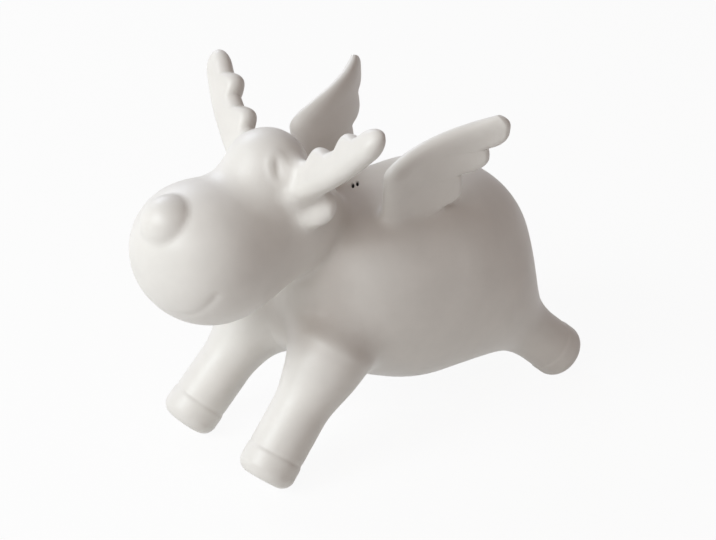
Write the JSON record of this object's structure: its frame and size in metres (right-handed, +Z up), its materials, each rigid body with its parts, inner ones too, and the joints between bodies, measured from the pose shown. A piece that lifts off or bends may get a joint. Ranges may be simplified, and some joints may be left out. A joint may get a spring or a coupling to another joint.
{
  "type": "winged reindeer figurine",
  "caption": "Plump winged reindeer in a flying leap, in white bisque porcelain: a hollow ornament that stands on its hooves or hangs on a thread through its withers.",
  "frame": {"origin": "on the ground, under the middle of the figure's length and width", "axes": "+Z up, -Y the way the nose points, +X the animal's left side"},
  "size_m": [0.066, 0.1208, 0.0925],
  "materials": {
    "bisque": "matt white bisque porcelain, sponged smooth"
  },
  "bodies": {
    "root": {"body": "bisque", "head": "bisque", "nose": "bisque", "left_antler": "bisque", "right_antler": "bisque", "left_ear": "bisque", "right_ear": "bisque", "left_wing": "bisque", "right_wing": "bisque", "front_left_leg": "bisque", "front_right_leg": "bisque", "rear_left_leg": "bisque", "rear_right_leg": "bisque", "tail": "bisque"}
  },
  "joints": []
}
